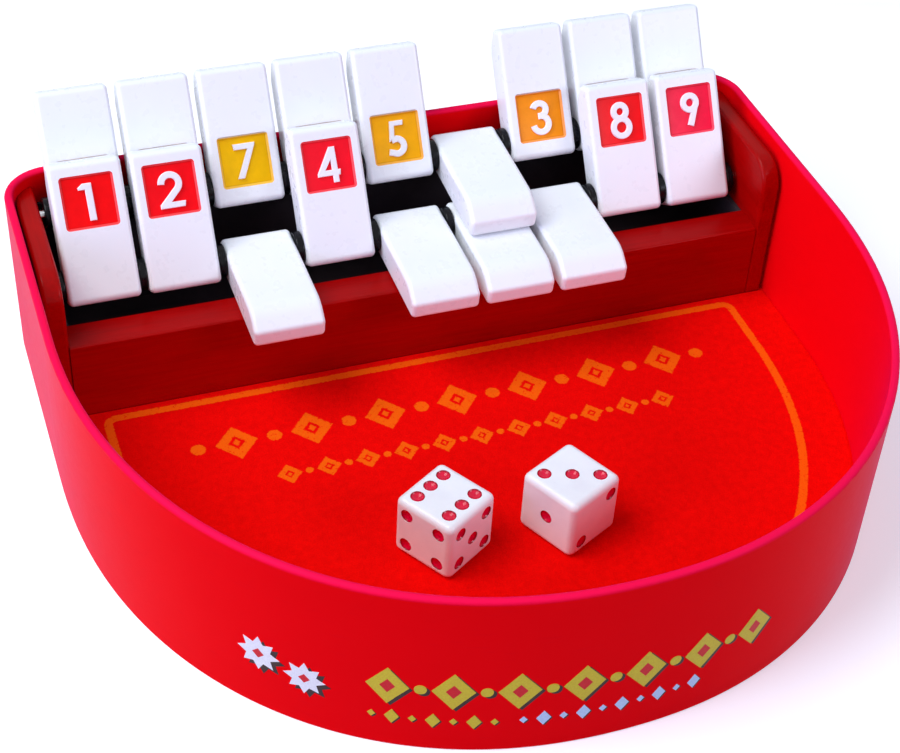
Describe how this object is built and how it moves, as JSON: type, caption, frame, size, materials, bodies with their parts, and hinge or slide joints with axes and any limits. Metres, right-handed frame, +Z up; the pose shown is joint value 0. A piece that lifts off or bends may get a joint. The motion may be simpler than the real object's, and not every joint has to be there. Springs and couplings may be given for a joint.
{
  "type": "shut the box game",
  "caption": "Dice game in a D-shaped open tray: two rows of numbered tiles fold down on steel rods behind a felt dice floor.",
  "frame": {"origin": "on the tray's flat underside, midway between its straight sides, where they begin to curve into the round front", "axes": "+X to the player's right, +Y away from the player, towards the flat back wall, +Z up; the round front is at -Y"},
  "size_m": [0.25, 0.225, 0.0831],
  "materials": {
    "red_plastic": "gloss",
    "felt": "short felt",
    "red_paint": "satin red paint on fibreboard",
    "black_lining": "matte",
    "black_plastic": "gloss",
    "steel": "bright",
    "white_plastic": "gloss",
    "die_plastic": "gloss"
  },
  "bodies": {
    "tray_and_frame": {"tray": "red_plastic", "felt_liner": "felt", "front_riser": "red_paint", "tile_bed": "black_lining", "left_cheek": "red_paint", "right_cheek": "red_paint", "front_rod": "steel", "back_rod": "steel", "front_spacers": "black_plastic", "back_spacers": "black_plastic", "frame_screws": "steel"},
    "front_tile_1": {"front_tile_1": "white_plastic"},
    "back_tile_9": {"back_tile_9": "white_plastic"},
    "front_tile_2": {"front_tile_2": "white_plastic"},
    "back_tile_8": {"back_tile_8": "white_plastic"},
    "front_tile_3": {"front_tile_3": "white_plastic"},
    "back_tile_7": {"back_tile_7": "white_plastic"},
    "front_tile_4": {"front_tile_4": "white_plastic"},
    "back_tile_6": {"back_tile_6": "white_plastic"},
    "front_tile_5": {"front_tile_5": "white_plastic"},
    "back_tile_5": {"back_tile_5": "white_plastic"},
    "front_tile_6": {"front_tile_6": "white_plastic"},
    "back_tile_4": {"back_tile_4": "white_plastic"},
    "front_tile_7": {"front_tile_7": "white_plastic"},
    "back_tile_3": {"back_tile_3": "white_plastic"},
    "front_tile_8": {"front_tile_8": "white_plastic"},
    "back_tile_2": {"back_tile_2": "white_plastic"},
    "front_tile_9": {"front_tile_9": "white_plastic"},
    "back_tile_1": {"back_tile_1": "white_plastic"},
    "die_left": {"die_left": "die_plastic"},
    "die_right": {"die_right": "die_plastic"}
  },
  "joints": [
    {"name": "fold_front_tile_1", "type": "hinge", "parent": "tray_and_frame", "child": "front_tile_1", "pos_m": [0, 0.04699, 0.0362], "axis": [1, 0, 0], "range_deg": [0, 122]},
    {"name": "fold_back_tile_9", "type": "hinge", "parent": "tray_and_frame", "child": "back_tile_9", "pos_m": [0, 0.06801, 0.0488], "axis": [1, 0, 0], "range_deg": [0, 124.2]},
    {"name": "fold_front_tile_2", "type": "hinge", "parent": "tray_and_frame", "child": "front_tile_2", "pos_m": [0, 0.04699, 0.0362], "axis": [1, 0, 0], "range_deg": [0, 122]},
    {"name": "fold_back_tile_8", "type": "hinge", "parent": "tray_and_frame", "child": "back_tile_8", "pos_m": [0, 0.06801, 0.0488], "axis": [1, 0, 0], "range_deg": [0, 124.2]},
    {"name": "fold_front_tile_3", "type": "hinge", "parent": "tray_and_frame", "child": "front_tile_3", "pos_m": [0, 0.04699, 0.0362], "axis": [1, 0, 0], "range_deg": [-122, 0]},
    {"name": "fold_back_tile_7", "type": "hinge", "parent": "tray_and_frame", "child": "back_tile_7", "pos_m": [0, 0.06801, 0.0488], "axis": [1, 0, 0], "range_deg": [0, 124.2]},
    {"name": "fold_front_tile_4", "type": "hinge", "parent": "tray_and_frame", "child": "front_tile_4", "pos_m": [0, 0.04699, 0.0362], "axis": [1, 0, 0], "range_deg": [0, 122]},
    {"name": "fold_back_tile_6", "type": "hinge", "parent": "tray_and_frame", "child": "back_tile_6", "pos_m": [0, 0.06801, 0.0488], "axis": [1, 0, 0], "range_deg": [0, 124.2]},
    {"name": "fold_front_tile_5", "type": "hinge", "parent": "tray_and_frame", "child": "front_tile_5", "pos_m": [0, 0.04699, 0.0362], "axis": [1, 0, 0], "range_deg": [-122, 0]},
    {"name": "fold_back_tile_5", "type": "hinge", "parent": "tray_and_frame", "child": "back_tile_5", "pos_m": [0, 0.06801, 0.0488], "axis": [1, 0, 0], "range_deg": [0, 124.2]},
    {"name": "fold_front_tile_6", "type": "hinge", "parent": "tray_and_frame", "child": "front_tile_6", "pos_m": [0, 0.04699, 0.0362], "axis": [1, 0, 0], "range_deg": [-122, 0]},
    {"name": "fold_back_tile_4", "type": "hinge", "parent": "tray_and_frame", "child": "back_tile_4", "pos_m": [0, 0.06801, 0.0488], "axis": [1, 0, 0], "range_deg": [-124.2, 0]},
    {"name": "fold_front_tile_7", "type": "hinge", "parent": "tray_and_frame", "child": "front_tile_7", "pos_m": [0, 0.04699, 0.0362], "axis": [1, 0, 0], "range_deg": [-122, 0]},
    {"name": "fold_back_tile_3", "type": "hinge", "parent": "tray_and_frame", "child": "back_tile_3", "pos_m": [0, 0.06801, 0.0488], "axis": [1, 0, 0], "range_deg": [0, 124.2]},
    {"name": "fold_front_tile_8", "type": "hinge", "parent": "tray_and_frame", "child": "front_tile_8", "pos_m": [0, 0.04699, 0.0362], "axis": [1, 0, 0], "range_deg": [0, 122]},
    {"name": "fold_back_tile_2", "type": "hinge", "parent": "tray_and_frame", "child": "back_tile_2", "pos_m": [0, 0.06801, 0.0488], "axis": [1, 0, 0], "range_deg": [0, 124.2]},
    {"name": "fold_front_tile_9", "type": "hinge", "parent": "tray_and_frame", "child": "front_tile_9", "pos_m": [0, 0.04699, 0.0362], "axis": [1, 0, 0], "range_deg": [0, 122]},
    {"name": "fold_back_tile_1", "type": "hinge", "parent": "tray_and_frame", "child": "back_tile_1", "pos_m": [0, 0.06801, 0.0488], "axis": [1, 0, 0], "range_deg": [0, 124.2]},
    {"name": "lift_die_left", "type": "slide", "parent": "tray_and_frame", "child": "die_left", "axis": [0, 0, 1], "range_m": [0, 0.08]},
    {"name": "lift_die_right", "type": "slide", "parent": "tray_and_frame", "child": "die_right", "axis": [0, 0, 1], "range_m": [0, 0.08]}
  ],
  "couplings": [
    {"joint": "fold_back_tile_9", "follows": "fold_front_tile_1", "ratio": 1.018},
    {"joint": "fold_back_tile_8", "follows": "fold_front_tile_2", "ratio": 1.018},
    {"joint": "fold_back_tile_6", "follows": "fold_front_tile_4", "ratio": 1.018},
    {"joint": "fold_back_tile_4", "follows": "fold_front_tile_6", "ratio": 1.018},
    {"joint": "fold_back_tile_2", "follows": "fold_front_tile_8", "ratio": 1.018},
    {"joint": "fold_back_tile_1", "follows": "fold_front_tile_9", "ratio": 1.018}
  ]
}
